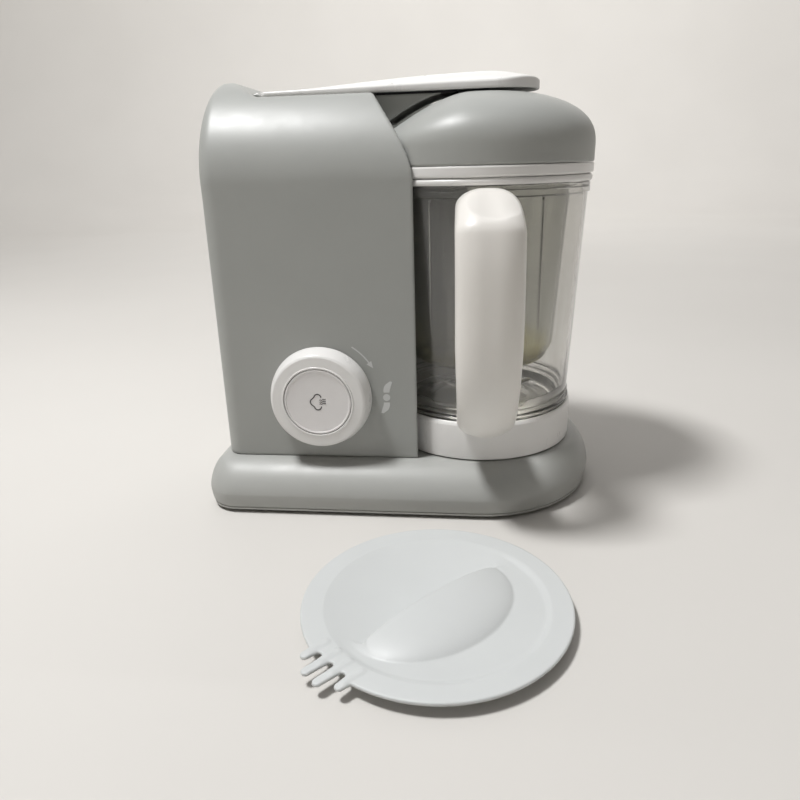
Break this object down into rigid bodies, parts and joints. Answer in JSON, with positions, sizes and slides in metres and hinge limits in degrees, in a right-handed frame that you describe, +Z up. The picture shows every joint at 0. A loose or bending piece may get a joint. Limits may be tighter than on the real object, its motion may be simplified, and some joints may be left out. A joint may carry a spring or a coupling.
{
  "type": "baby food maker",
  "caption": "Countertop steam-and-blend baby food maker with a clear side-handle jug, steam basket, hinged steam arm, push-and-turn knob and a loose mixing lid.",
  "frame": {"origin": "on the table under the middle of the bounding box of the machine and its mixing lid", "axes": "+Z up, the front with the knob and the jug's handle faces -Y, the jug stands on the +X side"},
  "size_m": [0.2384, 0.3068, 0.248],
  "materials": {
    "housing_grey": "satin moulded",
    "base_grey": "satin moulded",
    "white_gloss": "satin gloss",
    "handle_white": "satin gloss",
    "button_pearl": "pearl",
    "clear_plastic": "clear polished",
    "basket_clear": "clear, slightly yellowed",
    "pale_plastic": "fine satin",
    "black_plastic": "moulded",
    "rubber_grey": "matte",
    "silicone": "translucent matte",
    "steel": "brushed",
    "blade_steel": "polished",
    "copper": "wound copper",
    "brass": "turned",
    "board_green": "lacquered"
  },
  "bodies": {
    "root": {"base_shell": "base_grey", "base_bottom_plate": "black_plastic", "foot_front_left": "rubber_grey", "foot_rear_left": "rubber_grey", "foot_front_right": "rubber_grey", "foot_rear_right": "rubber_grey", "bottom_screw_1": "steel", "bottom_screw_2": "steel", "bottom_screw_3": "steel", "bottom_screw_4": "steel", "housing_shell": "housing_grey", "rear_cover": "housing_grey", "rear_cover_screw_upper": "steel", "rear_cover_screw_lower": "steel", "cord_gland": "black_plastic", "boiler_tank": "steel", "tank_mouth_ring": "white_gloss", "boiler_heater": "copper", "thermostat": "brass", "boiler_shelf": "black_plastic", "motor_stator": "steel", "motor_bracket": "steel", "drive_belt": "black_plastic", "drive_bush": "brass", "knob_return_spring": "steel", "pulse_switch": "black_plastic", "steam_switch": "black_plastic", "control_board": "board_green", "interlock_switch": "black_plastic", "motor_cable": "black_plastic", "heater_cable": "rubber_grey", "arm_hinge_pin": "steel"},
    "arm": {"arm_top": "white_gloss", "arm_underside": "housing_grey", "tank_seal": "silicone", "steam_outlet_seal": "silicone"},
    "motor": {"motor_rotor": "copper", "motor_shaft": "steel", "motor_fan": "black_plastic", "motor_pulley": "brass"},
    "drive": {"drive_pulley": "black_plastic", "drive_shaft": "steel", "drive_coupling": "white_gloss"},
    "jug_rest": {"jug_rest_ring": "rubber_grey"},
    "jug": {"jug_body": "clear_plastic", "jug_handle": "handle_white", "jug_base_ring": "white_gloss", "blade_bearing": "blade_steel"},
    "blade": {"blade": "blade_steel", "blade_hub": "blade_steel", "blade_shaft": "blade_steel"},
    "basket": {"steam_basket": "basket_clear"},
    "lid_seal": {"lid_gasket": "silicone"},
    "lid": {"lid_dome": "housing_grey", "lid_ring": "white_gloss", "steam_inlet": "white_gloss"},
    "knob": {"knob_ring": "white_gloss"},
    "button": {"steam_button": "button_pearl"},
    "mixing_lid": {"mixing_lid": "pale_plastic"}
  },
  "joints": [
    {"name": "arm_open", "type": "hinge", "parent": "root", "child": "arm", "pos_m": [-0.08125, 0.06945, 0.2368], "axis": [0, -1, 0], "range_deg": [0, 90]},
    {"name": "jug_turn", "type": "hinge", "parent": "root", "child": "jug_rest", "pos_m": [0.04775, 0.06945, 0.032], "axis": [0, 0, 1], "range_deg": [0, 35]},
    {"name": "jug_lift", "type": "slide", "parent": "jug_rest", "child": "jug", "axis": [0, 0, 1], "range_m": [0, 0.012]},
    {"name": "basket_lift", "type": "slide", "parent": "jug", "child": "basket", "axis": [0, 0, 1], "range_m": [0, 0.108]},
    {"name": "lid_turn", "type": "hinge", "parent": "jug", "child": "lid_seal", "pos_m": [0.04775, 0.06945, 0.189], "axis": [0, 0, 1], "range_deg": [0, 30]},
    {"name": "lid_lift", "type": "slide", "parent": "lid_seal", "child": "lid", "axis": [0, 0, 1], "range_m": [0, 0.112]},
    {"name": "motor_spin", "type": "hinge", "parent": "root", "child": "motor", "pos_m": [-0.06225, 0.07745, 0.066], "axis": [0, 0, 1], "continuous": true},
    {"name": "drive_spin", "type": "hinge", "parent": "root", "child": "drive", "pos_m": [0.04775, 0.06945, 0.02], "axis": [0, 0, 1], "continuous": true},
    {"name": "blade_spin", "type": "hinge", "parent": "jug", "child": "blade", "pos_m": [0.04775, 0.06945, 0.056], "axis": [0, 0, 1], "continuous": true},
    {"name": "knob_turn", "type": "hinge", "parent": "root", "child": "knob", "pos_m": [-0.04515, 0.01365, 0.0698], "axis": [0, 1, 0], "range_deg": [0, 40], "stiffness_Nm_per_rad": 0.15},
    {"name": "steam_button", "type": "slide", "parent": "root", "child": "button", "axis": [0, 1, 0], "range_m": [0, 0.002], "stiffness_N_per_m": 600},
    {"name": "mixing_lid_lift", "type": "slide", "parent": "root", "child": "mixing_lid", "axis": [0, 0, 1], "range_m": [0, 0.03]}
  ],
  "couplings": [
    {"joint": "jug_lift", "follows": "arm_open", "m_per_rad": 0.007639},
    {"joint": "basket_lift", "follows": "arm_open", "m_per_rad": 0.068748},
    {"joint": "lid_lift", "follows": "arm_open", "m_per_rad": 0.071294},
    {"joint": "drive_spin", "follows": "motor_spin", "ratio": 0.25},
    {"joint": "blade_spin", "follows": "motor_spin", "ratio": 0.25}
  ]
}
